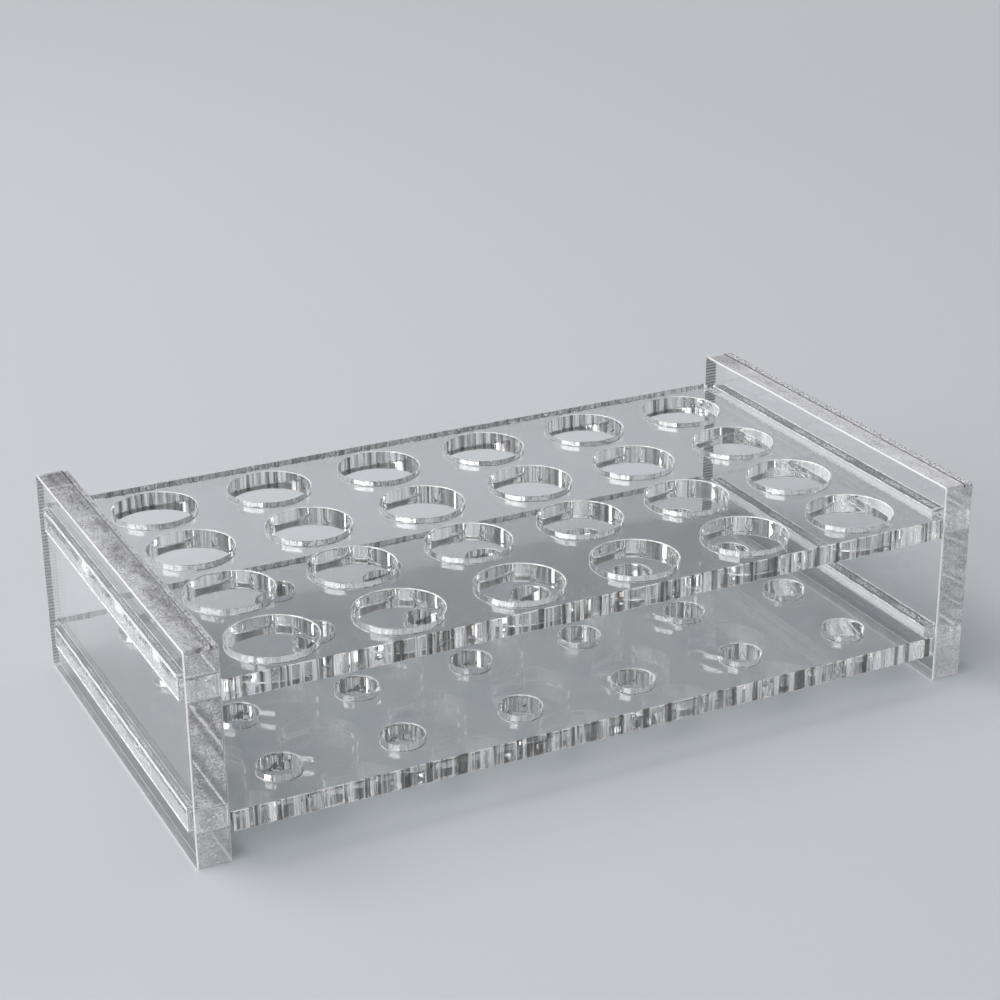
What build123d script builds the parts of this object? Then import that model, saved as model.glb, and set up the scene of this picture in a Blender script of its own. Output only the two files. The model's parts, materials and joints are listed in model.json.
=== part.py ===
from build123d import *
import os

# Bench rack for microcentrifuge tubes, made of clear acrylic sheet.
#
# Two end plates carry an upper shelf with wide holes, which guide the bodies of the tubes, and a
# lower shelf with small holes on the same centres, which catch their tips. Each shelf has a long
# tab on either end. The tab passes right through a slot in the end plate and ends flush with its
# outer face. The slots are cut a little high for the tabs, and the room above each tab is where
# the solvent cement runs in.
#
# Frame: X runs along the rack, Y from front to back and Z up. The origin is on the bench, under
# the middle of the rack. All sizes are in millimetres.

# sheet stock
end_sheet = 4.8  # end plates
shelf_sheet = 3.0  # both shelves

# grid of tube places
columns = 6  # along X
rows = 4  # along Y
column_pitch = 18.0
row_pitch = 16.1
tube_hole_d = 12.5  # upper shelf, round a tube's body
tip_hole_d = 6.1  # lower shelf, under a tube's tip

# material left round the grid, from the outer hole centres
end_margin = 10.2  # to the inner face of the end plate
side_margin = 9.15  # to the front and back edges

# heights
foot_height = 4.4  # end plates, below the lower shelf
shelf_gap = 15.9  # clear space between the shelves
lip_height = 4.9  # end plates, above the upper shelf

# slotted joints
tab_setback = 3.0  # shoulder before each end of a tab
slot_clearance = 0.1  # between a tab and the floor and both ends of its slot
slot_headroom = 0.35  # between a tab and the roof of its slot
overcut = 1.0  # how far the slot cutter reaches past each face of the plate
cement_line = 0.05  # between a shoulder and the end plate that it butts on
arris = 0.3  # scraped corners of the sawn end plates

# sizes that follow
inner_length = (columns - 1) * column_pitch + 2 * end_margin
rack_length = inner_length + 2 * end_sheet
rack_depth = (rows - 1) * row_pitch + 2 * side_margin
tab_depth = rack_depth - 2 * tab_setback
lower_shelf_z = foot_height
upper_shelf_z = lower_shelf_z + shelf_sheet + shelf_gap
rack_height = upper_shelf_z + shelf_sheet + lip_height


def shelf_profile(hole_d):
    """Flat outline of a shelf, with its two tabs and its grid of round holes."""
    between_plates = Rectangle(inner_length - 2 * cement_line, rack_depth)
    through_plates = Rectangle(rack_length, tab_depth)
    holes = GridLocations(column_pitch, row_pitch, columns, rows) * Circle(hole_d / 2)
    return between_plates + through_plates - holes


def make_shelf(hole_d, base_z):
    """One shelf, cut from sheet, with its underside at base_z."""
    return Pos(0, 0, base_z) * extrude(shelf_profile(hole_d), amount=shelf_sheet)


def slot_for_tab(base_z):
    """The cutter for one closed slot through an end plate, round a tab at base_z."""
    through = end_sheet + 2 * overcut
    depth = tab_depth + 2 * slot_clearance
    height = slot_clearance + shelf_sheet + slot_headroom
    from_floor_up = (Align.CENTER, Align.CENTER, Align.MIN)
    return Pos(0, 0, base_z - slot_clearance) * Box(through, depth, height, align=from_floor_up)


def make_end_plate(side):
    """One end plate, on the left (side -1) or on the right (side +1)."""
    middle = Pos(0, 0, rack_height / 2)
    blank = middle * Box(end_sheet, rack_depth, rack_height)
    plate = chamfer(blank.edges(), arris)
    for base_z in (lower_shelf_z, upper_shelf_z):
        plate -= slot_for_tab(base_z)
    return Pos(side * (inner_length + end_sheet) / 2, 0, 0) * plate


parts = {
    "left_end_plate": make_end_plate(-1),
    "right_end_plate": make_end_plate(+1),
    "upper_shelf": make_shelf(tube_hole_d, upper_shelf_z),
    "lower_shelf": make_shelf(tip_hole_d, lower_shelf_z),
}

os.makedirs("parts", exist_ok=True)
for name, part in parts.items():
    part.label = name
    export_step(part, f"parts/{name}.step")
    box = part.bounding_box()
    print(f"{name}: {part.volume:.1f} mm3, {box.min} to {box.max}")
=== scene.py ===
import json
import math

import bpy
from bpy.props import FloatProperty, FloatVectorProperty, PointerProperty
from mathutils import Matrix, Vector


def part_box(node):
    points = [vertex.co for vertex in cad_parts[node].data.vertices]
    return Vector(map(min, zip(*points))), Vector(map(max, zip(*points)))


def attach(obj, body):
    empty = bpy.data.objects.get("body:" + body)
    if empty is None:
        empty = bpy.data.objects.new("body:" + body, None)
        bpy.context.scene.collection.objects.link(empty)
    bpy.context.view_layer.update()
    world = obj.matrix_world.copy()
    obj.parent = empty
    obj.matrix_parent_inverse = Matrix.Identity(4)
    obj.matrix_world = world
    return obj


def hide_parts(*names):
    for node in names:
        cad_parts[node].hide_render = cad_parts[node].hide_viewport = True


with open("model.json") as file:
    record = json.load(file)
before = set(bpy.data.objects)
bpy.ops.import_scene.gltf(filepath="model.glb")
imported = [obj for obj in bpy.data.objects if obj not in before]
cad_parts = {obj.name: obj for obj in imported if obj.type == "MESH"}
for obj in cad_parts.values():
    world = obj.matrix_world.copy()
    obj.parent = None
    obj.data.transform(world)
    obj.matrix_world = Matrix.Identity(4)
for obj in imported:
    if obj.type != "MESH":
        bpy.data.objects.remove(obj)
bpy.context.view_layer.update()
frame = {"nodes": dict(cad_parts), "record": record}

bl_info = {
    "name": "Acrylic Tube Rack",
    "version": (1, 0, 0),
    "blender": (4, 5, 0),
    "location": "3D View > Sidebar > Tube Rack",
    "description": "Builds a clear acrylic bench rack for microcentrifuge tubes",
    "category": "Add Mesh",
}

MM = 0.001
# how close two places are when they count as the same
NEAR = 0.01 * MM
SIDES = {"left": -1, "right": 1}
LEVELS = ("lower", "upper")


# ---- sizes read from the frame


def reach(node, axis, keep):
    """How far a CAD node's corners lie from the middle along an axis, among those that keep() picks."""
    corners = (vertex.co for vertex in frame["nodes"][node].data.vertices)
    return max(abs(corner[axis]) for corner in corners if keep(corner))


def hole_grid(level):
    """The radius, count and spread of one shelf's holes, from the record's bore mounts."""
    prefix = {"upper": "tube_hole_", "lower": "tip_hole_"}[level]
    holes = [mount for mount in frame["record"]["mounts"] if mount["name"].startswith(prefix)]
    across = sorted({mount["pos_m"][0] for mount in holes})
    back = sorted({mount["pos_m"][1] for mount in holes})
    return {
        "Hole Radius": holes[0]["dims"]["r_mm"] * MM,
        "Columns": len(across),
        "Rows": len(back),
        "Grid Length": across[-1] - across[0],
        "Grid Depth": back[-1] - back[0],
    }


def slot_levels():
    """The lowest and highest edge of each slot in an end plate, from the bottom up."""
    corners = [vertex.co for vertex in frame["nodes"]["right_end_plate"].data.vertices]
    on_face = [corner.z for corner in corners if abs(corner.x - inner_face) < NEAR]
    low, lowest, highest, high = sorted({round(z, 6) for z in on_face if MM < z < rack_height - MM})
    return (low, lowest), (highest, high)


shelf_low, shelf_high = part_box("upper_shelf")
plate_low, plate_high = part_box("right_end_plate")
half_length = shelf_high.x
half_depth = shelf_high.y
inner_face = plate_low.x
plate_sheet = plate_high.x - plate_low.x
rack_height = plate_high.z
shelf_sheet = shelf_high.z - shelf_low.z
half_tab = reach("upper_shelf", 1, lambda corner: abs(corner.x) > half_length - NEAR)
shoulder = reach("upper_shelf", 0, lambda corner: abs(corner.y) > half_depth - NEAR)
half_slot = reach(
    "right_end_plate",
    1,
    lambda corner: abs(corner.x - inner_face) < NEAR and abs(corner.y) < half_depth - MM,
)
shelf_base = {level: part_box(level + "_shelf")[0].z for level in LEVELS}
slots = dict(zip(LEVELS, slot_levels()))
slot_height = slots["upper"][1] - slots["upper"][0]
tab_middle = (inner_face + half_length) / 2


# ---- sizes and colours that a user may change


def linear(hex_colour):
    """The linear colour of an sRGB hex value."""
    channels = [int(hex_colour[i : i + 2], 16) / 255 for i in (1, 3, 5)]
    return [c / 12.92 if c <= 0.04045 else ((c + 0.055) / 1.055) ** 2.4 for c in channels]


def size(label, text, millimetres):
    """A length that the sidebar shows, with its default in millimetres."""
    return FloatProperty(
        name=label, description=text, default=millimetres * MM, min=0.0, precision=5, unit="LENGTH"
    )


def colour(label, text, hex_colour):
    """A colour that the sidebar shows, with its default as an sRGB hex value."""
    return FloatVectorProperty(
        name=label, description=text, default=linear(hex_colour), min=0, max=1, subtype="COLOR"
    )


def strength(label, text, default, subtype="FACTOR"):
    """A brightness or a lamp's power that the sidebar shows."""
    return FloatProperty(name=label, description=text, default=default, min=0.0, subtype=subtype)


class ShelfSettings(bpy.types.PropertyGroup):
    """The laser-cut edges of the shelves."""

    cut_step: size("Cut step", "Spacing of points along a cut edge", 0.14)
    corner_radius: size("Corner radius", "Rounding of the outline's corners", 0.25)
    rim: size("Rim", "Rounding where a cut edge meets a broad face", 0.15)
    wave_depth: size("Streak depth", "Depth of the broad upright waves that the laser leaves", 0.016)
    wave_width: size("Streak width", "Width of the broad upright waves", 1.1)
    fine_depth: size("Fine streak depth", "Depth of the fine upright streaks", 0.024)
    fine_width: size("Fine streak width", "Width of the fine upright streaks", 0.34)
    hole_wave_depth: size("Hole wave depth", "Depth of the broad waves in a hole's wall", 0.012)
    hole_fine_depth: size("Hole streak depth", "Depth of the fine streaks in a hole's wall", 0.004)
    chip_depth: size("Chip depth", "Unevenness of the melted rim", 0.01)
    chip_spacing: size("Chip spacing", "Spacing of that unevenness", 0.9)


class PlateSettings(bpy.types.PropertyGroup):
    """The sawn edges of the end plates."""

    cut_step: size("Cut step", "Spacing of points along a sawn edge", 0.12)
    corner_radius: size("Corner radius", "Rounding of the plate's corners", 0.45)
    rim: size("Scraped arris", "Rounding that a scraper left along the sawn edges", 0.22)
    wave_depth: size("Wave depth", "Depth of the slow waves of a hand-held cut", 0.03)
    wave_width: size("Wave width", "Width of the slow waves", 3.0)
    fine_depth: size("Grain depth", "Depth of the sawn grain", 0.003)
    fine_width: size("Grain width", "Width of the sawn grain", 0.5)
    chip_depth: size("Chip depth", "Depth of the chips along the right plate's top", 0.32)
    nick_depth: size("Nick depth", "Depth of the nicks along the other arrises", 0.03)
    chip_spacing: size("Chip spacing", "Spacing of the chips", 0.6)
    tooth_depth: size("Tooth mark depth", "Depth of the marks that single saw teeth left", 0.14)
    tooth_pitch: size("Tooth mark pitch", "Spacing of the tooth marks", 0.52)
    slot_rim: size("Slot rim", "Rounding round a laser-cut slot", 0.1)


class CementSettings(bpy.types.PropertyGroup):
    """The solvent cement in the slotted joints."""

    film: size("Film", "Thickness of the dried film round a tab", 0.05)
    bleed: size("Bleed", "How far the film's edge wanders", 0.35)
    bubble_radius: size("Bubble radius", "Radius of the largest bubbles over a tab", 0.2)
    bubble_spacing: size("Bubble spacing", "Mean spacing of the bubbles where they gather", 0.4)
    clump: size("Clump", "Width of the patches in which bubbles gather", 2.5)
    mouth: size("Mouth", "Width of the foamed line at a slot's outer mouth", 0.6)
    fillet: size("Fillet", "Radius of the beads along a slot's edges", 0.15)


class DustSettings(bpy.types.PropertyGroup):
    """The dust that lies on the shelves."""

    speck_radius: size("Speck radius", "Radius of the largest specks", 0.09)
    speck_spacing: size("Speck spacing", "Mean spacing of the specks", 3.5)


class StageSettings(bpy.types.PropertyGroup):
    """The floor, the surroundings and the lamps."""

    floor_colour: colour("Floor", "Plain pale floor", "#C2C5C9")
    sky_colour: colour("Surroundings", "Soft light from all round", "#D8DBDF")
    sky_strength: strength("Overhead", "Brightness of the surroundings overhead", 0.24)
    horizon_strength: strength("Horizon", "Brightness of the surroundings near the floor", 0.78)
    key_power: strength("Key lamp", "Large soft lamp overhead, behind the rack's left", 21.5, "POWER")
    side_power: strength("Side lamp", "Wide soft box, mirrored in the hole walls", 13.0, "POWER")
    strip_power: strength("Strip lamp", "Narrow upright lamp that streaks the edges", 2.0, "POWER")


def by_label(settings):
    """A group's sizes under the labels that the node trees give them."""
    return {
        name.replace("_", " ").title(): getattr(settings, name) for name in settings.__annotations__
    }


# ---- small helpers

# the kinds of node that come up most
MATH = "ShaderNodeMath"
VECTOR = "ShaderNodeVectorMath"
RANGE = "ShaderNodeMapRange"
MIX = "ShaderNodeMix"
NOISE = "ShaderNodeTexNoise"
SPLIT = "ShaderNodeSeparateXYZ"
COMBINE = "ShaderNodeCombineXYZ"
POSITION = "GeometryNodeInputPosition"
JOIN = "GeometryNodeJoinGeometry"
TRANSFORM = "GeometryNodeTransform"
OFFSET = "GeometryNodeSetPosition"
STORE = "GeometryNodeStoreNamedAttribute"
ATTRIBUTE = "GeometryNodeInputNamedAttribute"
REALIZE = "GeometryNodeRealizeInstances"
INSTANCES = "GeometryNodeInstanceOnPoints"
RESAMPLE = "GeometryNodeResampleCurve"
SCATTER = "GeometryNodeDistributePointsOnFaces"
PRINCIPLED = "ShaderNodeBsdfPrincipled"
# the stretch of a pattern that is alike along every axis
EVERY_WAY = (1.0, 1.0, 1.0)


def add(tree, kind, inputs=(), operation=None, **settings):
    """Add a node to a tree, set its properties, and fill or link its inputs.

    The inputs come as a tuple in the node's own order, or as a dictionary by label. Each is a plain
    value, a colour's hex value, a socket, a node, which stands for its first live output, or a list
    of nodes, which are all linked.
    """
    node = tree.nodes.new(kind)
    if operation:
        node.operation = operation
    for name, value in settings.items():
        setattr(node, name, value)
    live = [socket for socket in node.inputs if socket.enabled]
    if isinstance(inputs, dict):
        live = [next(socket for socket in live if socket.name == label) for label in inputs]
        inputs = inputs.values()
    for target, value in zip(live, inputs):
        for source in value if isinstance(value, list) else [value]:
            if isinstance(source, bpy.types.Node):
                source = next(socket for socket in source.outputs if socket.enabled)
            if isinstance(source, bpy.types.NodeSocket):
                tree.links.new(source, target)
            elif target.type == "RGBA" and isinstance(source, str):
                target.default_value = (*linear(source), 1.0)
            else:
                target.default_value = source
    return node


def distance(tree, value, middle=0.0):
    """How far a value lies from a middle one, on either side."""
    gap = add(tree, MATH, (value, middle), "SUBTRACT")
    return add(tree, MATH, (gap,), "ABSOLUTE")


def labels(text):
    """The labels in a list that is written as one text."""
    return text.split(", ")


def new_tree(name, outputs, **inputs):
    """An empty geometry tree, and the sockets of its inputs, which are given by their kinds."""
    tree = bpy.data.node_groups.new(name, "GeometryNodeTree")
    for kind, text in inputs.items():
        for label in labels(text):
            tree.interface.new_socket(label, in_out="INPUT", socket_type="NodeSocket" + kind)
    for label in labels(outputs):
        tree.interface.new_socket(label, in_out="OUTPUT", socket_type="NodeSocketGeometry")
    given = tree.nodes.new("NodeGroupInput")
    return tree, {socket.name: socket for socket in given.outputs if socket.name}


def make_piece(name, tree, values, slot, points=(), edges=(), faces=()):
    """Run a node tree over a small base mesh, and keep the result as a plain piece."""
    base = bpy.data.meshes.new(name + "_base")
    base.from_pydata(points, edges, faces)
    piece = bpy.data.objects.new(name, base)
    bpy.context.scene.collection.objects.link(piece)
    modifier = piece.modifiers.new(tree.name, "NODES")
    modifier.node_group = tree
    for item in tree.interface.items_tree:
        if item.in_out == "INPUT" and item.name in values:
            modifier[item.identifier] = values[item.name]
    result = piece.evaluated_get(bpy.context.evaluated_depsgraph_get())
    mesh = bpy.data.meshes.new_from_object(result)
    piece.modifiers.remove(modifier)
    piece.data = mesh
    mesh.name = name
    for label in WORKING_ATTRIBUTES:
        if label in mesh.attributes:
            mesh.attributes.remove(mesh.attributes[label])
    if mesh.materials[0] is None:
        mesh.materials.pop(index=0)
    bpy.data.meshes.remove(base)
    if not mesh.polygons:
        raise RuntimeError(name + " came out empty")
    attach(piece, "root")
    return piece


# ---- node trees of the sheets

# the kinds of face, numbered as in MATERIALS: broad ones, laser-cut or sawn edges, cemented ones
BROAD, EDGE, SLOT = 0, 1, 2
# what the trees store on the way, and the finished meshes don't keep
WORKING_ATTRIBUTES = ("id", "air", "run", "cut", "upper_chip", "lower_chip")
CUT_SIZES = (
    "Thickness, Rim, Wave Depth, Wave Width, Fine Depth, Fine Width, Upper Chip Depth, "
    "Lower Chip Depth, Chip Spacing, Chips Elsewhere, Tooth Depth, Tooth Pitch, Seed"
)
CUT_SIDES = "Chip Side, Tooth Side"
MATERIALS = "Face Material, Edge Material, Slot Material"
HOLE_SIZES = "Hole Radius, Grid Length, Grid Depth"
HOLE_COUNTS = "Columns, Rows"
# upright marks hardly change over a sheet's thickness
UPRIGHT = (1.0, 1.0, 0.03)


def noise_here(tree, width, seed, stretch=EVERY_WAY, **more):
    """A noise over space with features of about the given width, another for each seed."""
    scale = add(tree, MATH, (1.0, width), "DIVIDE")
    place = add(tree, VECTOR, (add(tree, POSITION), stretch), "MULTIPLY")
    inputs = {"Vector": place, "W": seed, "Scale": scale, **more}
    return add(tree, NOISE, inputs, noise_dimensions="4D")


def wall_tree():
    """The wall that a cutter leaves along curves, and the lines where the broad faces begin."""
    tree, given = new_tree(
        "Cut Wall",
        "Wall, Upper Line, Lower Line",
        Geometry="Curve",
        Float=CUT_SIZES,
        Vector=CUT_SIDES,
        Int="Wall Rows",
    )
    thickness, rim = given["Thickness"], given["Rim"]
    outward = add(tree, "GeometryNodeInputNormal")
    towards = add(tree, VECTOR, (outward, given["Chip Side"]), "DOT_PRODUCT")
    chipped = add(tree, MATH, (towards, given["Chips Elsewhere"]), "MAXIMUM")
    marked = add(tree, "GeometryNodeSetCurveNormal", {"Curve": given["Curve"]}, mode="Z_UP")

    # the sweep has to know which way the air lies, how far along a point is, and its chips:
    # none in most places, and up to the full depth in a few
    stored = {"air": outward, "run": add(tree, "GeometryNodeSplineParameter").outputs["Length"]}
    for chip, label, offset in (
        ("upper_chip", "Upper Chip Depth", 11.0),
        ("lower_chip", "Lower Chip Depth", 23.0),
    ):
        seed = add(tree, MATH, (given["Seed"], offset), "ADD")
        noise = noise_here(tree, given["Chip Spacing"], seed, Detail=3.0, Roughness=0.65)
        deepest = add(tree, MATH, (given[label], chipped), "MULTIPLY")
        stored[chip] = add(tree, RANGE, (noise, 0.45, 0.7, 0.0, deepest))
    read = {}
    for label, value in stored.items():
        kind = "FLOAT_VECTOR" if label == "air" else "FLOAT"
        inputs = {"Geometry": marked, "Name": label, "Value": value}
        marked = add(tree, STORE, inputs, data_type=kind, domain="POINT")
        read[label] = add(tree, ATTRIBUTE, {"Name": label}, data_type=kind)

    def inwards(depth):
        """An offset away from the air."""
        back = add(tree, MATH, (depth, -1.0), "MULTIPLY")
        return add(tree, VECTOR, (read["air"], back), "SCALE")

    # the lines where the broad faces begin: in from the cut by the rim and the chips
    lines = []
    for chip in ("upper_chip", "lower_chip"):
        inset = add(tree, MATH, (rim, read[chip]), "ADD")
        lines.append(add(tree, OFFSET, {"Geometry": marked, "Offset": inwards(inset)}))

    # the wall's section, from the upper face round the rims to the lower face
    far_rim = add(tree, MATH, (thickness, rim), "SUBTRACT")
    back = add(tree, MATH, (rim, -1.0), "MULTIPLY")
    section = []
    for start, depth in ((-math.pi / 2, rim), (0.0, far_rim)):
        turn = {"Resolution": 3, "Radius": rim, "Start Angle": start, "Sweep Angle": math.pi / 2}
        arc = add(tree, "GeometryNodeCurveArc", turn)
        centre = add(tree, COMBINE, (back, depth))
        section.append(add(tree, TRANSFORM, {"Geometry": arc, "Translation": centre}))
    # the straight part's points gather towards both rims, where chips need them
    middle = add(tree, MATH, (thickness, 0.5), "MULTIPLY")
    half = add(tree, MATH, (middle, rim), "SUBTRACT")
    line = add(tree, "GeometryNodeCurvePrimitiveLine")
    rows = add(tree, RESAMPLE, {"Curve": line, "Count": given["Wall Rows"]})
    factor = add(tree, "GeometryNodeSplineParameter").outputs["Factor"]
    swing = add(tree, MATH, (factor, math.pi, -math.pi / 2), "MULTIPLY_ADD")
    share = add(tree, MATH, (swing,), "SINE")
    down = add(tree, MATH, (share, half, middle), "MULTIPLY_ADD")
    spot = add(tree, COMBINE, {"Y": down})
    section.append(add(tree, OFFSET, {"Geometry": rows, "Position": spot}))
    profile = add(tree, JOIN, {"Geometry": section})
    sweep = add(tree, "GeometryNodeCurveToMesh", {"Curve": marked, "Profile Curve": profile})
    lift = add(tree, COMBINE, {"Z": thickness})
    raised = add(tree, TRANSFORM, {"Geometry": sweep, "Translation": lift})

    # how far each point of the wall lies in from the true cut: waves and streaks, tooth marks
    # on one side, and chips that fade away from the rims
    height = add(tree, SPLIT, (add(tree, POSITION),)).outputs["Z"]
    from_top = add(tree, MATH, (thickness, height), "SUBTRACT")
    nearest = add(tree, MATH, (height, from_top), "MINIMUM")
    inside = add(tree, RANGE, (nearest, 0.0, rim))
    relief = []
    for mark, offset, detail in (("Wave", 0.0, 3.0), ("Fine", 5.0, 2.0)):
        seed = add(tree, MATH, (given["Seed"], offset), "ADD")
        noise = noise_here(tree, given[mark + " Width"], seed, UPRIGHT, Detail=detail)
        relief.append(add(tree, RANGE, (noise, 0.25, 0.75, 0.0, given[mark + " Depth"])))
    turns = add(tree, MATH, (read["run"], given["Tooth Pitch"]), "DIVIDE")
    angle = add(tree, MATH, (turns, math.pi), "MULTIPLY")
    scallop = add(tree, MATH, (add(tree, MATH, (angle,), "SINE"),), "ABSOLUTE")
    facing = add(tree, VECTOR, (read["air"], given["Tooth Side"]), "DOT_PRODUCT")
    bite = add(tree, MATH, (facing, given["Tooth Depth"]), "MULTIPLY", use_clamp=True)
    teeth = add(tree, MATH, (scallop, bite), "MULTIPLY")
    streaks = add(tree, MATH, tuple(relief), "ADD")
    marks = add(tree, MATH, (streaks, teeth), "ADD")
    total = add(tree, MATH, (marks, inside), "MULTIPLY")
    chip_reach = add(tree, MATH, (rim, 2.5), "MULTIPLY")
    for chip, from_rim in (("upper_chip", from_top), ("lower_chip", height)):
        fade = add(tree, RANGE, (from_rim, 0.0, chip_reach, 1.0, 0.0))
        part = add(tree, MATH, (read[chip], fade), "MULTIPLY")
        total = add(tree, MATH, (total, part), "ADD")
    wall = add(tree, OFFSET, {"Geometry": raised, "Offset": inwards(total)})
    add(tree, "NodeGroupOutput", (wall, *lines))
    return tree


def closing_tree():
    """Closes walls into a sheet: flat broad faces, and one material for each kind of cut."""
    tree, given = new_tree(
        "Close Sheet",
        "Sheet",
        Geometry="Walls, Upper Lines, Lower Lines",
        Float="Thickness",
        Rotation="Turn",
        Vector="Shift",
        Material=MATERIALS,
    )
    upper, lower = (
        add(tree, "GeometryNodeFillCurve", {"Curve": given[label]}, mode="TRIANGLES")
        for label in ("Upper Lines", "Lower Lines")
    )
    turned = add(tree, "GeometryNodeFlipFaces", {"Mesh": lower})
    lift = add(tree, COMBINE, {"Z": given["Thickness"]})
    raised = add(tree, TRANSFORM, {"Geometry": upper, "Translation": lift})
    broad = add(tree, JOIN, {"Geometry": [raised, turned]})
    flat, smooth = (
        add(tree, "GeometryNodeSetShadeSmooth", {"Geometry": part, "Shade Smooth": shaded})
        for part, shaded in ((broad, False), (given["Walls"], True))
    )
    joined = add(tree, JOIN, {"Geometry": [flat, smooth]})
    welded = add(tree, "GeometryNodeMergeByDistance", {"Geometry": joined, "Distance": 0.002 * MM})
    stood = {"Geometry": welded, "Rotation": given["Turn"], "Translation": given["Shift"]}
    ended = add(tree, REALIZE, (add(tree, TRANSFORM, stood),))
    kind = add(tree, ATTRIBUTE, {"Name": "cut"}, data_type="INT")
    for number, label in zip((BROAD, EDGE, SLOT), labels(MATERIALS)):
        chosen = add(tree, MATH, (kind, number, 0.5), "COMPARE")
        inputs = {"Geometry": ended, "Selection": chosen, "Material": given[label]}
        ended = add(tree, "GeometryNodeSetMaterial", inputs)
    add(tree, "NodeGroupOutput", (ended,))
    return tree


def cut_along(tree, given, wall, curve, kind, **changes):
    """Add a wall along a curve to a tree, marked with the kind of cut that made it."""
    shared = labels(CUT_SIZES) + labels(CUT_SIDES) + ["Wall Rows"]
    values = {**{label: given[label] for label in shared}, **changes, "Curve": curve}
    made = add(tree, "GeometryNodeGroup", values, node_tree=wall)
    inputs = {"Geometry": made, "Name": "cut", "Value": kind}
    marked = add(tree, STORE, inputs, data_type="INT", domain="FACE")
    return marked, made.outputs["Upper Line"], made.outputs["Lower Line"]


def closed(tree, given, closing, cuts, shift, turn=(0.0, 0.0, 0.0)):
    """Join what several cuts left, close it into a sheet, and end the tree with it."""
    walls, upper, lower = (add(tree, JOIN, {"Geometry": list(parts)}) for parts in zip(*cuts))
    inputs = {label: given[label] for label in ["Thickness"] + labels(MATERIALS)}
    inputs.update({"Walls": walls, "Upper Lines": upper, "Lower Lines": lower})
    inputs.update({"Shift": add(tree, COMBINE, shift), "Turn": turn})
    add(tree, "NodeGroupOutput", (add(tree, "GeometryNodeGroup", inputs, node_tree=closing),))
    return tree


def cutting_line(tree, given, curve, corner_points, radius):
    """A curve with rounded corners, evenly divided into the steps of a cut."""
    inputs = {"Curve": curve, "Count": corner_points, "Radius": radius}
    rounded = add(tree, "GeometryNodeFilletCurve", inputs, mode="POLY")
    inputs = {"Curve": rounded, "Length": given["Cut Step"]}
    return add(tree, RESAMPLE, inputs, mode="LENGTH")


def hole_centres(tree, given):
    """The grid of points on which a shelf's holes are centred."""
    sizes = [given[label] for label in ("Grid Length", "Grid Depth", "Columns", "Rows")]
    return add(tree, "GeometryNodeMeshGrid", tuple(sizes))


def shelf_tree(wall, closing):
    """A shelf cut from sheet: an outline with tabs, and a grid of round holes."""
    hole_marks = "Hole Wave Depth, Hole Fine Depth"
    own_sizes = "Corner Radius, Cut Step, Base Height, Glued Beyond"
    tree, given = new_tree(
        "Laser Cut Shelf",
        "Shelf",
        Geometry="Outline",
        Float=", ".join((CUT_SIZES, HOLE_SIZES, hole_marks, own_sizes)),
        Vector=CUT_SIDES,
        Int="Wall Rows, " + HOLE_COUNTS,
        Material=MATERIALS,
    )
    outline = add(tree, "GeometryNodeMeshToCurve", {"Mesh": given["Outline"]})
    even = cutting_line(tree, given, outline, 4, given["Corner Radius"])
    round_step = add(tree, MATH, (given["Hole Radius"], given["Cut Step"]), "DIVIDE")
    ring = {
        "Resolution": add(tree, MATH, (round_step, math.tau), "MULTIPLY"),
        "Radius": given["Hole Radius"],
    }
    hole = add(tree, "GeometryNodeCurvePrimitiveCircle", ring, mode="RADIUS")
    inputs = {"Points": hole_centres(tree, given), "Instance": hole}
    copies = add(tree, INSTANCES, inputs)
    holes = add(tree, REALIZE, (copies,))
    inside_out = add(tree, "GeometryNodeReverseCurve", {"Curve": holes})
    across = add(tree, SPLIT, (add(tree, POSITION),)).outputs["X"]
    glued = add(tree, MATH, (distance(tree, across), given["Glued Beyond"]), "GREATER_THAN")
    kind = add(tree, "GeometryNodeSwitch", (glued, EDGE, SLOT), input_type="INT")
    changes = {"Wave Depth": given["Hole Wave Depth"], "Fine Depth": given["Hole Fine Depth"]}
    cuts = (
        cut_along(tree, given, wall, even, kind),
        cut_along(tree, given, wall, inside_out, EDGE, **changes),
    )
    return closed(tree, given, closing, cuts, {"Z": given["Base Height"]})


def plate_tree(wall, closing):
    """An end plate: a sawn blank with rounded corners, and two laser-cut slots, stood on edge."""
    middles = "Lower Slot Middle, Upper Slot Middle"
    own_sizes = "Corner Radius, Cut Step, Depth, Height, Slot Depth, Slot Height, Slot Rim, Inner Side"
    tree, given = new_tree(
        "Sawn End Plate",
        "Plate",
        Geometry="Geometry",
        Float=", ".join((CUT_SIZES, middles, own_sizes)),
        Vector=CUT_SIDES,
        Int="Wall Rows",
        Material=MATERIALS,
    )

    def frame_curve(width, height, middle, radius):
        """A rounded rectangle, evenly divided, with its middle raised."""
        inputs = {"Width": width, "Height": height}
        corners = add(tree, "GeometryNodeCurvePrimitiveQuadrilateral", inputs)
        even = cutting_line(tree, given, corners, 5, radius)
        centre = add(tree, COMBINE, {"Y": middle})
        return add(tree, TRANSFORM, {"Geometry": even, "Translation": centre})

    half_height = add(tree, MATH, (given["Height"], 0.5), "MULTIPLY")
    blank = frame_curve(given["Depth"], given["Height"], half_height, given["Corner Radius"])
    openings = [
        frame_curve(given["Slot Depth"], given["Slot Height"], given[middle], given["Slot Rim"])
        for middle in labels(middles)
    ]
    both = add(tree, JOIN, {"Geometry": openings})
    inside_out = add(tree, "GeometryNodeReverseCurve", {"Curve": both})
    plain = {"Upper Chip Depth": 0.0, "Lower Chip Depth": 0.0, "Tooth Depth": 0.0}
    cuts = (
        cut_along(tree, given, wall, blank, EDGE),
        cut_along(tree, given, wall, inside_out, SLOT, Rim=given["Slot Rim"], **plain),
    )
    quarter_turns = (math.pi / 2, 0.0, math.pi / 2)
    return closed(tree, given, closing, cuts, {"X": given["Inner Side"]}, quarter_turns)


# ---- node trees of the cement and the dust


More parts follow.
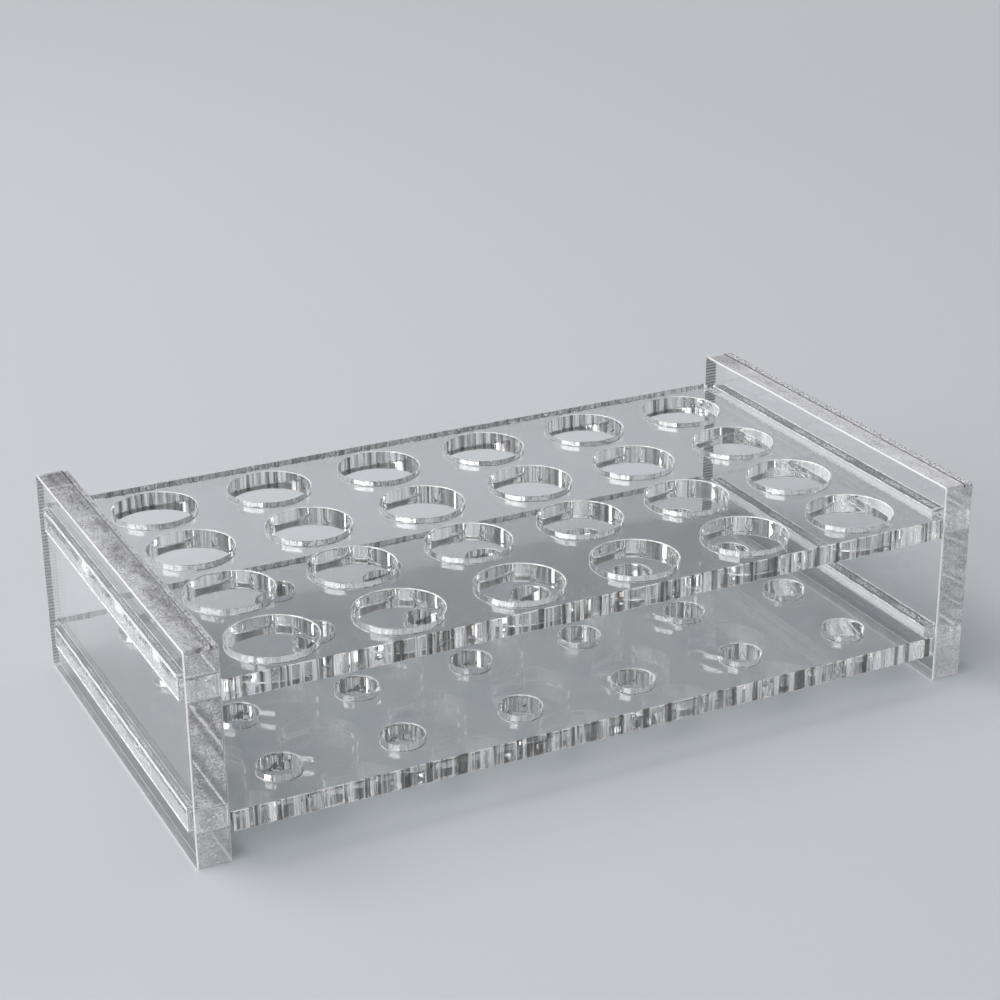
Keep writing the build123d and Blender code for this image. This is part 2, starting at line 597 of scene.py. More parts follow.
def end_with(tree, given, geometry, smooth):
    """Realize a tree's geometry, shade it, give it its material, and close the tree."""
    real = add(tree, REALIZE, (geometry,))
    shaded = add(tree, "GeometryNodeSetShadeSmooth", {"Geometry": real, "Shade Smooth": smooth})
    inputs = {"Geometry": shaded, "Material": given["Material"]}
    add(tree, "NodeGroupOutput", (add(tree, "GeometryNodeSetMaterial", inputs),))
    return tree


def wander(tree, width, seed, detail, reach_each_way, most):
    """An offset that drifts from place to place, by at most a given reach, and none where it is 0."""
    drift = noise_here(tree, width, seed, Detail=detail).outputs["Color"]
    centred = add(tree, VECTOR, (drift, (0.5, 0.5, 0.5)), "SUBTRACT")
    level = add(tree, VECTOR, (centred, reach_each_way), "MULTIPLY")
    return add(tree, VECTOR, (level, most), "SCALE")


def film_tree():
    """Thin films of cement: strips whose edges wander."""
    tree, given = new_tree(
        "Cement Film", "Film", Geometry="Geometry", Float="Film, Bleed, Clump, Seed", Material="Material"
    )
    fine = add(tree, "GeometryNodeSubdivideMesh", {"Mesh": given["Geometry"], "Level": 4})
    drift = wander(tree, given["Clump"], given["Seed"], 2.0, (2.0, 2.0, 0.0), given["Bleed"])
    moved = add(tree, OFFSET, {"Geometry": fine, "Offset": drift})
    lift = add(tree, COMBINE, {"Z": given["Film"]})
    inputs = {"Mesh": moved, "Offset": lift, "Offset Scale": 1.0, "Individual": False}
    raised = add(tree, "GeometryNodeExtrudeMesh", inputs, mode="FACES")
    under = add(tree, "GeometryNodeFlipFaces", {"Mesh": moved})
    both = add(tree, JOIN, {"Geometry": [raised, under]})
    welded = add(tree, "GeometryNodeMergeByDistance", {"Geometry": both, "Distance": 0.001 * MM})
    return end_with(tree, given, welded, False)


def fillet_tree():
    """Fillets of cement: thin wandering beads along lines, which pool at the ends of the slots."""
    tree, given = new_tree(
        "Cement Fillet", "Fillet", Geometry="Geometry", Float="Fillet, Step, Seed", Material="Material"
    )
    radius, step, seed = given["Fillet"], given["Step"], given["Seed"]
    line = add(tree, "GeometryNodeMeshToCurve", {"Mesh": given["Geometry"]})
    inputs = {"Curve": line, "Length": step}
    even = add(tree, RESAMPLE, inputs, mode="LENGTH")
    drift = wander(tree, step, seed, 1.0, EVERY_WAY, radius)
    loose = add(tree, OFFSET, {"Geometry": even, "Offset": drift})
    patch = add(tree, MATH, (step, 12.0), "MULTIPLY")
    noise = noise_here(tree, patch, seed, Detail=3.0)
    thick = add(tree, RANGE, (noise, 0.4, 0.65, 0.35, 1.0))
    depth = add(tree, SPLIT, (add(tree, POSITION),)).outputs["Y"]
    near_end, at_end = half_slot - 0.4 * MM, half_slot - 0.1 * MM
    pooled = add(tree, RANGE, (distance(tree, depth), near_end, at_end, 1.0, 2.0))
    swell = add(tree, MATH, (thick, pooled), "MULTIPLY")
    wide = add(tree, MATH, (swell, radius), "MULTIPLY")
    ring = {"Resolution": 6, "Radius": 1.0}
    profile = add(tree, "GeometryNodeCurvePrimitiveCircle", ring, mode="RADIUS")
    inputs = {"Curve": loose, "Profile Curve": profile, "Scale": wide, "Fill Caps": True}
    return end_with(tree, given, add(tree, "GeometryNodeCurveToMesh", inputs), True)


def foam_tree():
    """Beads of foamed cement over the tabs: scattered in patches, and crowded at the mouths."""
    tree, given = new_tree(
        "Cement Foam",
        "Foam",
        Geometry="Geometry",
        Float="Bubble Radius, Bubble Spacing, Headroom, Clump, Mouth Beyond",
        Int="Seed",
        Material="Material",
    )
    noise = noise_here(tree, given["Clump"], given["Seed"], Detail=2.0)
    patches = add(tree, RANGE, (noise, 0.5, 0.62, 0.04, 0.6))
    across = add(tree, SPLIT, (add(tree, POSITION),)).outputs["X"]
    along = distance(tree, across)
    at_mouth = add(tree, MATH, (along, given["Mouth Beyond"]), "GREATER_THAN")
    crowding = add(tree, MATH, (patches, at_mouth), "MAXIMUM")
    area = add(tree, MATH, (given["Bubble Spacing"], -2.0), "POWER")
    density = add(tree, MATH, (crowding, area), "MULTIPLY")
    inputs = {"Mesh": given["Geometry"], "Density": density, "Seed": given["Seed"]}
    spots = add(tree, SCATTER, inputs)
    chance = add(tree, "FunctionNodeRandomValue", {"Min": 0.35, "Max": 1.0, "Seed": given["Seed"]})
    wide = add(tree, MATH, (chance, given["Bubble Radius"]), "MULTIPLY")
    # a bubble is a little lower than half the gap that it fills
    room = add(tree, MATH, (given["Headroom"], 0.47), "MULTIPLY")
    tall = add(tree, MATH, (wide, room), "MINIMUM")
    bulk = add(tree, COMBINE, (wide, wide, tall))
    bead = add(tree, "GeometryNodeMeshUVSphere", {"Segments": 7, "Rings": 4, "Radius": 1.0})
    inputs = {"Points": spots, "Instance": bead, "Scale": bulk}
    return end_with(tree, given, add(tree, INSTANCES, inputs), True)


def dust_tree():
    """Specks of dust on the shelves, clear of the holes."""
    tree, given = new_tree(
        "Dust",
        "Dust",
        Geometry="Geometry",
        Float="Speck Radius, Speck Spacing, Height, " + HOLE_SIZES,
        Int="Seed, " + HOLE_COUNTS,
        Material="Material",
    )
    density = add(tree, MATH, (given["Speck Spacing"], -2.0), "POWER")
    inputs = {"Mesh": given["Geometry"], "Density": density, "Seed": given["Seed"]}
    spots = add(tree, SCATTER, inputs)
    lift = add(tree, COMBINE, {"Z": given["Height"]})
    raised = add(tree, TRANSFORM, {"Geometry": hole_centres(tree, given), "Translation": lift})
    nearest = add(tree, "GeometryNodeProximity", {"Geometry": raised}, target_element="POINTS")
    gap = nearest.outputs["Distance"]
    on_hole = add(tree, MATH, (gap, given["Hole Radius"]), "LESS_THAN")
    inputs = {"Geometry": spots, "Selection": on_hole}
    lying = add(tree, "GeometryNodeDeleteGeometry", inputs, domain="POINT")
    shapes = {"Min": (0.25, 0.2, 0.2), "Max": (1.0, 0.6, 0.4), "Seed": given["Seed"]}
    turns = {"Min": (0.0, 0.0, 0.0), "Max": (0.0, 0.0, math.tau), "Seed": given["Seed"]}
    shape, turn = (
        add(tree, "FunctionNodeRandomValue", inputs, data_type="FLOAT_VECTOR")
        for inputs in (shapes, turns)
    )
    bulk = add(tree, VECTOR, (shape, given["Speck Radius"]), "SCALE")
    speck = add(tree, "GeometryNodeMeshIcoSphere", {"Radius": 1.0, "Subdivisions": 1})
    inputs = {"Points": lying, "Instance": speck, "Rotation": turn, "Scale": bulk}
    return end_with(tree, given, add(tree, INSTANCES, inputs), False)


# ---- materials


def cleared(data):
    """The node tree of a new material or world, emptied."""
    data.use_nodes = True
    data.node_tree.nodes.clear()
    return data.node_tree


def acrylic(name, shade, patterns):
    """A clear acrylic surface, which bends the eye's rays and lets a lamp's light shine through.

    shade is the colour of the soft shadow that the surface throws, and patterns(tree) gives the
    inputs of the surface itself.
    """
    if name in bpy.data.materials:
        return bpy.data.materials[name]
    material = bpy.data.materials.new(name)
    tree = cleared(material)
    body = add(tree, PRINCIPLED, {"IOR": 1.49, **patterns(tree)})
    through = add(tree, "ShaderNodeBsdfTransparent", {"Color": shade})
    ray = add(tree, "ShaderNodeLightPath").outputs["Is Shadow Ray"]
    surface = add(tree, "ShaderNodeMixShader", (ray, body, through))
    add(tree, "ShaderNodeOutputMaterial", {"Surface": surface})
    return material


def object_place(tree):
    """A surface point's places along the piece's own three axes."""
    return add(tree, SPLIT, (add(tree, "ShaderNodeTexCoord").outputs["Object"],)).outputs


def object_noise(tree, width, stretch=EVERY_WAY, **more):
    """A noise over the piece's own coordinates, with features of about the given width."""
    place = add(tree, "ShaderNodeTexCoord").outputs["Object"]
    if stretch != EVERY_WAY:
        place = add(tree, VECTOR, (place, stretch), "MULTIPLY")
    return add(tree, NOISE, {"Vector": place, "Scale": 1 / width, **more})


def polished(tree):
    """A face as it left the casting mould: clear and glossy, with smudges from handling."""
    smudge = object_noise(tree, 12 * MM, Detail=2.0, Roughness=0.65)
    return {
        "Base Color": "#FFFFFF",
        "Roughness": add(tree, RANGE, (smudge, 0.52, 0.75, 0.0, 0.07)),
        "Transmission Weight": 1.0,
    }


def clear_share(tree, haze, axis, rim_haze):
    """The share of light that goes through, under haze that whitens towards the rounded rims.

    The haze of the rims is none on faces square to the axis or along it, and full in between.
    """
    facing = add(tree, "ShaderNodeNewGeometry").outputs["Normal"]
    part = add(tree, SPLIT, (facing,)).outputs[axis]
    square = add(tree, MATH, (part, part), "MULTIPLY")
    rest = add(tree, MATH, (1.0, square), "SUBTRACT")
    both = add(tree, MATH, (square, rest), "MULTIPLY")
    rim = add(tree, RANGE, (both, 0.02, 0.12, 0.0, 1.0))
    whitened = add(tree, MATH, (rim, rim_haze), "MULTIPLY")
    most = add(tree, MATH, (haze, whitened), "MAXIMUM")
    return add(tree, MATH, (1.0, most), "SUBTRACT", use_clamp=True)


def laser_cut(tree):
    """An edge that the laser melted: clear, with upright bars, some white and some dark, the dark ones
    partly sooty and partly a painted dark reflection.

    The rims are whitened, and the walls of the holes came out smoother than the outline.
    """
    streak = object_noise(tree, 0.9 * MM, UPRIGHT, Detail=3.0, Roughness=0.6)
    fine = object_noise(tree, 0.3 * MM, UPRIGHT, Detail=1.0, Roughness=0.5)
    off_middle = distance(tree, object_place(tree)["Y"])
    near_edge, at_edge = half_depth - 1.8 * MM, half_depth - 1.2 * MM
    outline = add(tree, RANGE, (off_middle, near_edge, at_edge, 0.2, 1.0))
    softer = add(tree, RANGE, (outline, 0.2, 1.0, 0.3, 1.0))
    whiter, dark_bar_noise, _ = add(tree, SPLIT, (streak.outputs["Color"],)).outputs
    bars = add(tree, RANGE, (whiter, 0.48, 0.58, 0.0, 0.7))
    haze = add(tree, MATH, (bars, softer), "MULTIPLY")
    # the dark bars are partly sooty and partly a painted dark reflection of the surroundings
    dark_bar_share = add(tree, RANGE, (dark_bar_noise, 0.48, 0.58, 0.0, 1.0))
    soot_and_dark_reflection = add(tree, MATH, (dark_bar_share, softer), "MULTIPLY")
    height = add(tree, MATH, (fine, outline), "MULTIPLY")
    return {
        # the dark colour is partly sooty residue and partly painted dark reflection
        "Base Color": add(tree, MIX, (soot_and_dark_reflection, "#FDFDFD", "#6B6966"), data_type="RGBA"),
        "Roughness": add(tree, RANGE, (whiter, 0.5, 0.7, 0.0, 0.15)),
        "Transmission Weight": clear_share(tree, haze, "Z", 0.75),
        "Normal": add(tree, "ShaderNodeBump", {"Distance": 0.02 * MM, "Height": height}),
    }


def sawn(side, tooth_pitch):
    """An edge sawn and scraped, but never polished: an even veil of haze over clear acrylic.

    The arrises are white. The back edges were left as the saw cut them, and painted shade darkens
    the grooves between the tooth marks there. The left plate's top is the more stained one, its front
    the clearer one. A scored line runs along each top, darkened with painted shade, and on the right
    plate the top is chipped beyond it, with painted white glints and painted shade between them.
    """
    line_at = -inner_face - MM if side < 0 else half_length - 1.5 * MM
    veil_low, veil_high = (0.14, 0.36) if side < 0 else (0.36, 0.56)
    stained, chipped = (1.0, 0.0) if side < 0 else (0.25, 1.0)

    def patterns(tree):
        across, depth, height = object_place(tree)
        top, back = rack_height - 0.6 * MM, half_depth - 1.2 * MM
        on_top = add(tree, RANGE, (height, top, top + 0.2 * MM, 0.0, 1.0))
        on_back = add(tree, RANGE, (depth, back, back + 0.4 * MM, 0.0, 1.0))

        # the veil: cloudy over some millimetres, grainy, and faintly lined by the scraper
        smudge = object_noise(tree, 4 * MM, Detail=4.0, Roughness=0.6)
        grains = object_noise(tree, 0.35 * MM, Detail=1.0)
        scrape = object_noise(tree, 0.5 * MM, (1.0, 0.12, 0.12), Detail=1.0)
        veil = add(tree, RANGE, (smudge, 0.3, 0.7, veil_low, veil_high))
        grainy = add(tree, RANGE, (grains, 0.38, 0.62, 0.78, 1.22))
        lined = add(tree, RANGE, (scrape, 0.35, 0.65, 0.95, 1.05))
        even = add(tree, MATH, (veil, grainy), "MULTIPLY")
        haze = add(tree, MATH, (even, lined), "MULTIPLY")
        haze = add(tree, MIX, (on_back, haze, 0.75))

        # the chipped strip beyond the scored line: painted white glints, with painted shade in the gaps
        # between them
        beyond = add(tree, RANGE, (across, line_at, line_at + 0.1 * MM, 0.0, chipped))
        flaky = add(tree, MATH, (on_top, beyond), "MULTIPLY")
        glints = add(tree, RANGE, (grains, 0.45, 0.53, 0.25, 1.0))
        gaps = add(tree, MATH, (1.0, glints), "SUBTRACT")
        between = add(tree, MATH, (gaps, flaky), "MULTIPLY")
        haze = add(tree, MIX, (flaky, haze, 0.85))

        # the stains, thickest along the top's middle, and the scored line, drawn as a painted dark line
        # of shade
        marks = object_noise(tree, 2.2 * MM, (1.0, 0.5, 1.0), Detail=4.0, Roughness=0.75)
        stain = add(tree, RANGE, (marks, 0.42, 0.72, 0.15, 1.0))
        off_middle = distance(tree, across, side * tab_middle)
        band = add(tree, RANGE, (off_middle, 0.7 * MM, 1.7 * MM, stained, 0.3 * stained))
        spotted = add(tree, MATH, (stain, band), "MULTIPLY")
        # the scored line: painted shade of a groove that the mesh does not have
        off_line = distance(tree, across, line_at)
        scored = add(tree, RANGE, (off_line, 0.1 * MM, 0.2 * MM, 0.9, 0.0))
        darkest = add(tree, MATH, (spotted, scored), "MAXIMUM")
        top_stains_and_shade = add(tree, MATH, (darkest, on_top), "MULTIPLY")

        # painted shade in the grooves between the tooth marks
        tooth = add(tree, MATH, (height, tooth_pitch / 2), "PINGPONG")
        groove = add(tree, RANGE, (tooth, 0.1 * MM, 0.16 * MM, 0.0, 0.8))
        tooth_groove_shade = add(tree, MATH, (groove, on_back), "MULTIPLY")
        stains_and_painted_shade = add(tree, MATH, (top_stains_and_shade, tooth_groove_shade), "MAXIMUM")
        stains_and_painted_shade = add(tree, MATH, (stains_and_painted_shade, between), "MAXIMUM")
        return {
            # the dark colour gives the real stains, and the painted shade of the scored line, the tooth
            # grooves and the gaps between the glints
            "Base Color": add(tree, MIX, (stains_and_painted_shade, "#F0EFF1", "#5C5559"), data_type="RGBA"),
            "Roughness": add(tree, MATH, (haze, 0.16, 0.01), "MULTIPLY_ADD"),
            "Transmission Weight": clear_share(tree, haze, "X", 0.85),
            "Normal": add(tree, "ShaderNodeBump", {"Distance": 0.002 * MM, "Height": scrape}),
        }

    return patterns


def cemented(tree):
    """What cement leaves on a cut wall: clear, with patches of white flecks along its middle."""
    along = distance(tree, object_place(tree)["X"])
    off_line = distance(tree, along, tab_middle)
    on_line = add(tree, RANGE, (off_line, 0.8 * MM, 1.4 * MM, 1.0, 0.0))
    patches = object_noise(tree, 7 * MM, Detail=1.0)
    grains = object_noise(tree, 0.35 * MM, Detail=1.0)
    there = add(tree, RANGE, (patches, 0.42, 0.57, 0.3, 1.0))
    white = add(tree, RANGE, (grains, 0.48, 0.53, 0.0, 1.0))
    near_end, end = half_length - 0.5 * MM, half_length - 0.4 * MM
    at_end = add(tree, RANGE, (along, near_end, end, 0.0, 0.5))
    glued = add(tree, MATH, (on_line, at_end), "MAXIMUM")
    flecked = add(tree, MATH, (glued, there), "MULTIPLY")
    haze = add(tree, MATH, (flecked, white), "MULTIPLY")
    return {
        "Base Color": "#F6F6F8",
        "Roughness": add(tree, RANGE, (patches, 0.3, 0.7, 0.0, 0.12)),
        "Transmission Weight": clear_share(tree, haze, "X", 0.7),
        "Normal": add(tree, "ShaderNodeBump", {"Distance": 0.03 * MM, "Height": grains}),
    }


def whitened(tree):
    """The underside of a tab, where cement soaked in: an even white skin, lined along the joint."""
    lines = object_noise(tree, 0.5 * MM, (1.0, 0.06, 1.0), Detail=2.0)
    return {
        "Base Color": "#F9F9FA",
        "Roughness": 0.4,
        "Transmission Weight": add(tree, RANGE, (lines, 0.4, 0.6, 0.25, 0.6)),
    }


def polished_to_tab(tree):
    """A shelf's broad face: polished, but whitened by cement on the underside of the tabs."""
    across, _, height = object_place(tree)
    along = distance(tree, across)
    clean, glued = polished(tree), whitened(tree)
    lower, upper = (shelf_base[level] + shelf_sheet / 2 for level in LEVELS)
    on_tab = add(tree, MATH, (along, inner_face), "GREATER_THAN")
    above_lower = add(tree, MATH, (height, lower), "GREATER_THAN")
    below_split = add(tree, MATH, (height, (lower + upper) / 2), "LESS_THAN")
    above_upper = add(tree, MATH, (height, upper), "GREATER_THAN")
    on_lower_top = add(tree, MATH, (above_lower, below_split), "MULTIPLY")
    on_a_top = add(tree, MATH, (on_lower_top, above_upper), "MAXIMUM")
    share = add(tree, MATH, (on_tab, on_a_top), "SUBTRACT", use_clamp=True)
    kinds = {label: "RGBA" if label == "Base Color" else "FLOAT" for label in clean}
    return {
        label: add(tree, MIX, (share, clean[label], glued[label]), data_type=kind)
        for label, kind in kinds.items()
    }


def polished_face():
    """Cast acrylic sheet's own face."""
    return acrylic("cast_acrylic_polished", "#F7F8F8", polished)


def shelf_face():
    """Cast acrylic sheet's own face, with cemented tabs."""
    return acrylic("cast_acrylic_polished_tabbed", "#F7F8F8", polished_to_tab)


def laser_edge():
    """Cast acrylic, cut by laser."""
    return acrylic("cast_acrylic_laser_cut", "#D3D7DB", laser_cut)


def sawn_edge(side, tooth_pitch):
    """Cast acrylic, sawn and scraped: stained on the left plate, and chipped on the right one."""
    finish = "stained" if side < 0 else "chipped"
    return acrylic("cast_acrylic_sawn_" + finish, "#E6E8EA", sawn(side, tooth_pitch))


def cemented_wall():
    """Cast acrylic, etched by solvent cement, in a slot or on a tab."""
    return acrylic("cast_acrylic_cemented", "#EEF0F1", cemented)


def dried_cement():
    """Solvent cement that dried full of tiny bubbles: a whitish, half-clear crust."""

    def patterns(tree):
        cloud = object_noise(tree, 0.9 * MM, Detail=2.0)
        return {
            "Base Color": "#F8F8F9",
            "Roughness": add(tree, RANGE, (cloud, 0.35, 0.65, 0.12, 0.45)),
            "Transmission Weight": add(tree, RANGE, (cloud, 0.35, 0.65, 0.4, 0.0)),
        }

    return acrylic("solvent_cement_dried", "#D5D6D8", patterns)


def lint():
    """Household dust: off-white fibres and flakes, quite matt."""
    material = bpy.data.materials.new("dust_lint")
    tree = cleared(material)
    shade = add(tree, RANGE, (object_noise(tree, 6 * MM), 0.4, 0.6, 0.0, 1.0))
    tint = add(tree, MIX, (shade, "#F3F1EC", "#9C9890"), data_type="RGBA")
    body = add(tree, PRINCIPLED, {"Base Color": tint, "Roughness": 0.95})
    add(tree, "ShaderNodeOutputMaterial", {"Surface": body})
    return material


# ---- operators


class RACK_OT_shelves(bpy.types.Operator):
    """Make the two laser-cut shelves with their tabs and holes"""

    bl_idname = "rack.shelves"
    bl_label = "Shelves"

    def execute(self, context):
        chosen = context.scene.rack_shelves
        tree = shelf_tree(wall_tree(), closing_tree())
        common = {
            **by_label(chosen),
            "Thickness": shelf_sheet,
            "Wall Rows": 5,
            "Upper Chip Depth": chosen.chip_depth,
            "Lower Chip Depth": chosen.chip_depth,
            "Chips Elsewhere": 1.0,
            "Tooth Depth": 0.0,
            "Tooth Pitch": MM,
            "Glued Beyond": shoulder - 2 * NEAR,
            "Face Material": shelf_face(),
            "Edge Material": laser_edge(),
            "Slot Material": cemented_wall(),
        }
        quarter = [(half_length, half_tab), (shoulder, half_tab), (shoulder, half_depth)]
        corners = list(quarter)
        corners += [(-x, y) for x, y in reversed(quarter)]
        corners += [(-x, -y) for x, y in quarter]
        corners += [(x, -y) for x, y in reversed(quarter)]
        count = len(corners)
        for number, level in enumerate(LEVELS):
            own = {**hole_grid(level), "Seed": 3.0 + number, "Base Height": shelf_base[level]}
            piece = make_piece(
                level + "_shelf_sheet",
                tree,
                {**common, **own},
                "shelf_acrylic",
                points=[(x, y, 0.0) for x, y in corners],
                edges=[(i, (i + 1) % count) for i in range(count)],
            )
            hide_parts(level + "_shelf")
        return {"FINISHED"}


class RACK_OT_end_plates(bpy.types.Operator):
    """Make the two sawn end plates with their slots"""

    bl_idname = "rack.end_plates"
    bl_label = "End plates"

    def execute(self, context):
        chosen = context.scene.rack_plates
        tree = plate_tree(wall_tree(), closing_tree())
        common = {
            **by_label(chosen),
            "Thickness": plate_sheet,
            "Wall Rows": 9,
            "Lower Chip Depth": chosen.nick_depth,
            "Chip Side": (0.0, 1.0, 0.0),
            "Chips Elsewhere": 0.3,
            "Tooth Side": (1.0, 0.0, 0.0),
            "Depth": 2 * half_depth,
            "Height": rack_height,
            "Slot Depth": 2 * half_slot,
            "Slot Height": slot_height,
            "Lower Slot Middle": sum(slots["lower"]) / 2,
            "Upper Slot Middle": sum(slots["upper"]) / 2,
            "Face Material": polished_face(),
            "Slot Material": cemented_wall(),
        }
        for name, side in SIDES.items():
            own = {
                "Upper Chip Depth": chosen.chip_depth if side > 0 else chosen.nick_depth,
                "Seed": 20.0 + side,
                "Inner Side": inner_face if side > 0 else -half_length,
                "Edge Material": sawn_edge(side, chosen.tooth_pitch),
            }
            piece = make_piece(name + "_plate_sheet", tree, {**common, **own}, "end_acrylic")
            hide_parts(name + "_end_plate")
        return {"FINISHED"}


class RACK_OT_cement(bpy.types.Operator):
    """Make the cement's films, fillets and foam in the slotted joints"""

    bl_idname = "rack.cement"
    bl_label = "Cement"

    def execute(self, context):
        chosen = context.scene.rack_cement
        film, fillet, foam = film_tree(), fillet_tree(), foam_tree()
        common = {
            **by_label(chosen),
            "Material": dried_cement(),
            "Step": 2 * chosen.fillet,
            "Headroom": slots["upper"][1] - shelf_base["upper"] - shelf_sheet,
            "Mouth Beyond": half_length - chosen.mouth,
        }
        beds = [(slots[level][0] + shelf_base[level] - chosen.film) / 2 for level in LEVELS]
        gaps = [(shelf_base[level] + shelf_sheet + slots[level][1]) / 2 for level in LEVELS]
        for name, side in SIDES.items():
            for label, tree, seed, mesh in (
                ("film", film, 2.0 + side, strip_mesh(side, beds, chosen.bleed)),
                ("fillet", fillet, 5.0 + side, slot_lines(side, chosen.fillet)),
                ("foam", foam, 40 + side, strip_mesh(side, gaps, chosen.bubble_radius)),
            ):
                piece = f"{name}_cement_{label}"
                make_piece(piece, tree, {**common, "Seed": seed}, "end_acrylic", *mesh)
        return {"FINISHED"}


def strip_mesh(side, heights, margin):
    """A strip of near squares over each tab of one end, at each of the given heights."""
    near, far = inner_face + margin, half_length - margin
    reach_back = half_tab - margin
    count = round(2 * reach_back / (far - near))
    points, faces = [], []
    for height in heights:
        start = len(points)
        for step in range(count + 1):
            y = -reach_back + 2 * reach_back * step / count
            points += [(side * near, y, height), (side * far, y, height)]
        for step in range(count):
            a = start + 2 * step
            face = (a, a + 1, a + 3, a + 2)
            faces.append(face if side > 0 else face[::-1])
    return points, [], faces


def slot_lines(side, inset):
    """The edges of one end's slots that cement fills: along both mouths, and across the sheet."""
    points, edges = [], []

    def line(start, end):
        edges.append((len(points), len(points) + 1))
        points.extend([start, end])

    near, far = side * (inner_face + inset / 2), side * (half_length - inset)
    for level in LEVELS:
        low, high = slots[level]
        for x, z in ((near, high), (near, shelf_base[level]), (far, high), (far, low)):
            line((x, -half_slot, z), (x, half_slot, z))
        for y in (-half_slot, half_slot):
            for z in (low, high):
                line((near, y, z), (far, y, z))
    return points, edges


class RACK_OT_dust(bpy.types.Operator):
    """Make the dust on the shelves"""

    bl_idname = "rack.dust"
    bl_label = "Dust"

    def execute(self, context):
        chosen = context.scene.rack_dust
        tree, material = dust_tree(), lint()
        x, y = shoulder - MM, half_depth - MM
        for number, level in enumerate(LEVELS):
            height = shelf_base[level] + shelf_sheet + chosen.speck_radius * 0.4
            values = {**by_label(chosen), **hole_grid(level), "Material": material}
            values["Hole Radius"] += 2 * chosen.speck_radius + MM / 2
            values.update({"Height": height, "Seed": 7 + number})
            make_piece(
                level + "_shelf_dust",
                tree,
                values,
                "shelf_acrylic",
                [(-x, -y, height), (x, -y, height), (x, y, height), (-x, y, height)],
                faces=[(0, 1, 2, 3)],
            )
        return {"FINISHED"}


class RACK_OT_stage(bpy.types.Operator):
    """Make the floor, the soft lamps, the surroundings and the camera"""

    bl_idname = "rack.stage"
    bl_label = "Stage"

    def execute(self, context):
        chosen = context.scene.rack_stage
        scene = context.scene
        make_floor(chosen)
        make_surroundings(scene, chosen)
        soft_lamp("key_lamp", (-0.7, 0.5, 1.35), (0.9, 0.9), chosen.key_power)
        soft_lamp("left_box", (-1.2, -0.45, 0.53), (1.4, 0.8), chosen.side_power)
        soft_lamp("right_strip", (0.95, 0.5, 0.6), (0.25, 1.0), chosen.strip_power)
        scene.camera = make_camera(scene)
        scene.view_settings.view_transform = "Standard"
        scene.cycles.max_bounces = 32
        scene.cycles.transmission_bounces = 32
        scene.cycles.transparent_max_bounces = 32
        scene.cycles.glossy_bounces = 12
        # the acrylic lets the lamps' shadow rays through, so the floor gets its light that way
        scene.cycles.caustics_reflective = False
        scene.cycles.caustics_refractive = False
        return {"FINISHED"}


def make_floor(chosen):
    """A plain floor, far wider than the view, which fades into the surroundings at its edge."""
    half = 1.1
    drop = -0.02 * MM
    mesh = bpy.data.meshes.new("floor")
    corners = [(x * half, y * half, drop) for x, y in ((-1, -1), (1, -1), (1, 1), (-1, 1))]
    mesh.from_pydata(corners, [], [(0, 1, 2, 3)])
    floor = bpy.data.objects.new("floor", mesh)
    bpy.context.scene.collection.objects.link(floor)
    material = bpy.data.materials.new("painted_floor")
    tree = cleared(material)
    place = add(tree, "ShaderNodeTexCoord").outputs["Object"]
    radius = add(tree, VECTOR, (place,), "LENGTH")
    far = add(tree, RANGE, (radius, 0.35 * half, 0.85 * half, 0.0, 1.0))
    colours = ((*chosen.floor_colour, 1.0), (0.0, 0.0, 0.0, 1.0))
    inputs = {
        "Base Color": add(tree, MIX, (far, *colours), data_type="RGBA"),
        "Roughness": 0.9,
        "Specular IOR Level": 0.1,
        "Emission Color": (*chosen.sky_colour, 1.0),
        "Emission Strength": add(tree, RANGE, (far, 0.0, 1.0, 0.0, chosen.horizon_strength)),
    }
    paint = add(tree, PRINCIPLED, inputs)
    add(tree, "ShaderNodeOutputMaterial", {"Surface": paint})
    mesh.materials.append(material)


def make_surroundings(scene, chosen):
    """Soft light from all round: a pale band at the horizon, darker overhead."""
    world = bpy.data.worlds.new("surroundings")
    tree = cleared(world)
    direction = add(tree, "ShaderNodeTexCoord").outputs["Generated"]
    height = add(tree, SPLIT, (direction,)).outputs["Z"]
    band = add(tree, RANGE, (height, 0.16, 0.32, chosen.horizon_strength, chosen.sky_strength))
    fade = add(tree, RANGE, (height, 0.32, 0.7, 1.0, 0.5))
    glow = add(tree, MATH, (band, fade), "MULTIPLY")
    inputs = {"Color": (*chosen.sky_colour, 1.0), "Strength": glow}
    add(tree, "ShaderNodeOutputWorld", {"Surface": add(tree, "ShaderNodeBackground", inputs)})
    scene.world = world


def soft_lamp(name, place, width, power):
    """A large soft lamp that looks at the middle of the rack."""
    data = bpy.data.lights.new(name, "AREA")
    data.energy = power
    data.shape = "RECTANGLE"
    data.size, data.size_y = width
    lamp = bpy.data.objects.new(name, data)
    bpy.context.scene.collection.objects.link(lamp)
    lamp.location = place
    target = Vector((0.0, 0.0, rack_height / 2))
    lamp.rotation_euler = (target - lamp.location).to_track_quat("-Z", "Y").to_euler()


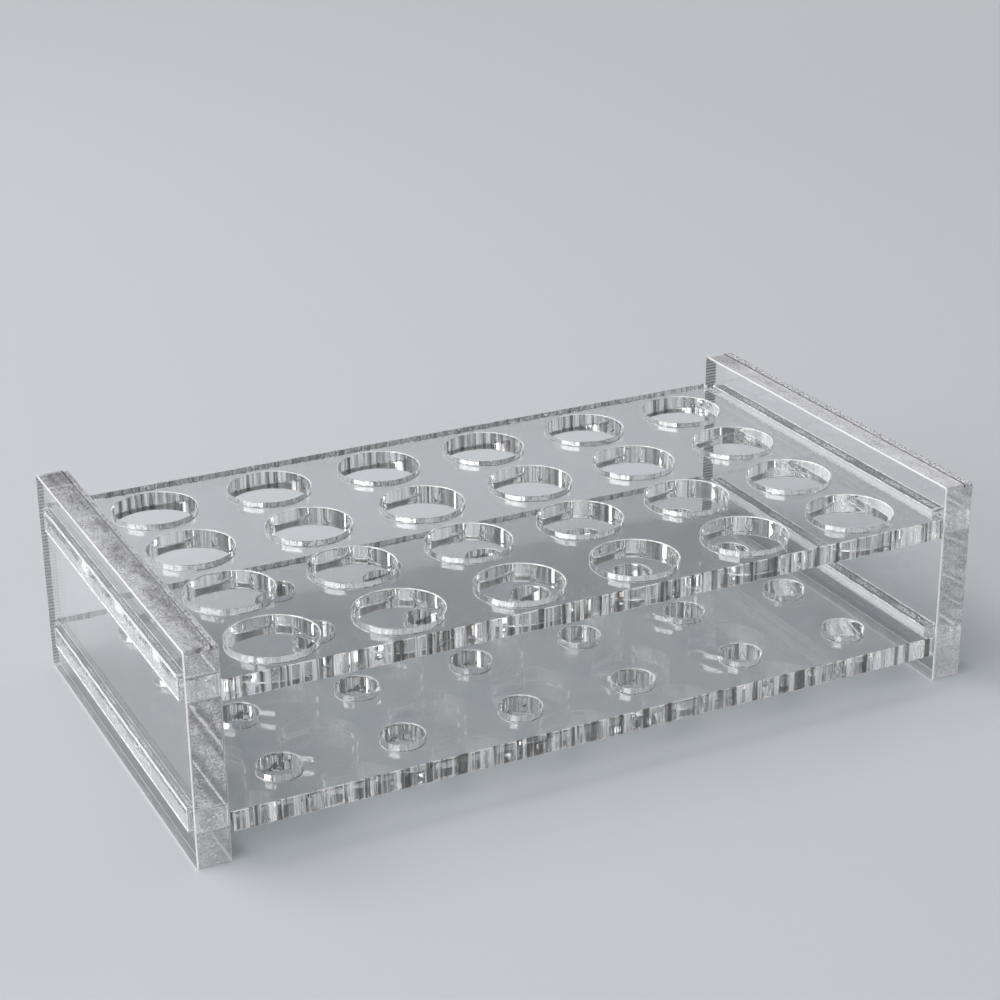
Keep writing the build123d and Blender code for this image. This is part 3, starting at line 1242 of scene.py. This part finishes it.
def make_camera(scene):
    """A camera that looks down on the rack from its left front."""
    azimuth, elevation, roll = (math.radians(a) for a in (-26.122, 22.547, -0.572))
    target, distance_away = Vector((0.0, 0.0, 0.02775)), 0.32722
    flat = math.cos(elevation)
    away = Vector((math.sin(azimuth) * flat, -math.cos(azimuth) * flat, math.sin(elevation)))
    level = (-away).cross(Vector((0.0, 0.0, 1.0))).normalized()
    upright = level.cross(-away)
    right = level * math.cos(roll) + upright * math.sin(roll)
    up = upright * math.cos(roll) - level * math.sin(roll)
    data = bpy.data.cameras.new("camera")
    data.lens = 80.3
    data.sensor_width = 36.0
    data.clip_start = 0.01
    data.clip_end = 20.0
    camera = bpy.data.objects.new("camera", data)
    scene.collection.objects.link(camera)
    matrix = Matrix((right, up, away)).transposed().to_4x4()
    matrix.translation = target + away * distance_away
    camera.matrix_world = matrix
    return camera


class RACK_PT_sidebar(bpy.types.Panel):
    """Buttons and sizes of the tube rack"""

    bl_idname = "RACK_PT_sidebar"
    bl_label = "Tube Rack"
    bl_space_type = "VIEW_3D"
    bl_region_type = "UI"
    bl_category = "Tube Rack"

    def draw(self, context):
        for operator, name, _ in STEPS:
            column = self.layout.column(align=True)
            column.operator(operator.bl_idname)
            settings = getattr(context.scene, name)
            for label in settings.__annotations__:
                column.prop(settings, label)


STEPS = (
    (RACK_OT_shelves, "rack_shelves", ShelfSettings),
    (RACK_OT_end_plates, "rack_plates", PlateSettings),
    (RACK_OT_cement, "rack_cement", CementSettings),
    (RACK_OT_dust, "rack_dust", DustSettings),
    (RACK_OT_stage, "rack_stage", StageSettings),
)


def register():
    """Make the settings, the operators and the sidebar known."""
    for operator, name, settings in STEPS:
        bpy.utils.register_class(settings)
        setattr(bpy.types.Scene, name, PointerProperty(type=settings))
        bpy.utils.register_class(operator)
    bpy.utils.register_class(RACK_PT_sidebar)


def unregister():
    """Take back what register() did."""
    bpy.utils.unregister_class(RACK_PT_sidebar)
    for operator, name, settings in reversed(STEPS):
        bpy.utils.unregister_class(operator)
        delattr(bpy.types.Scene, name)
        bpy.utils.unregister_class(settings)


def main():
    """Build everything with its default sizes."""
    register()
    bpy.ops.rack.shelves()
    bpy.ops.rack.end_plates()
    bpy.ops.rack.cement()
    bpy.ops.rack.dust()
    bpy.ops.rack.stage()


if __name__ == "__main__":
    main()
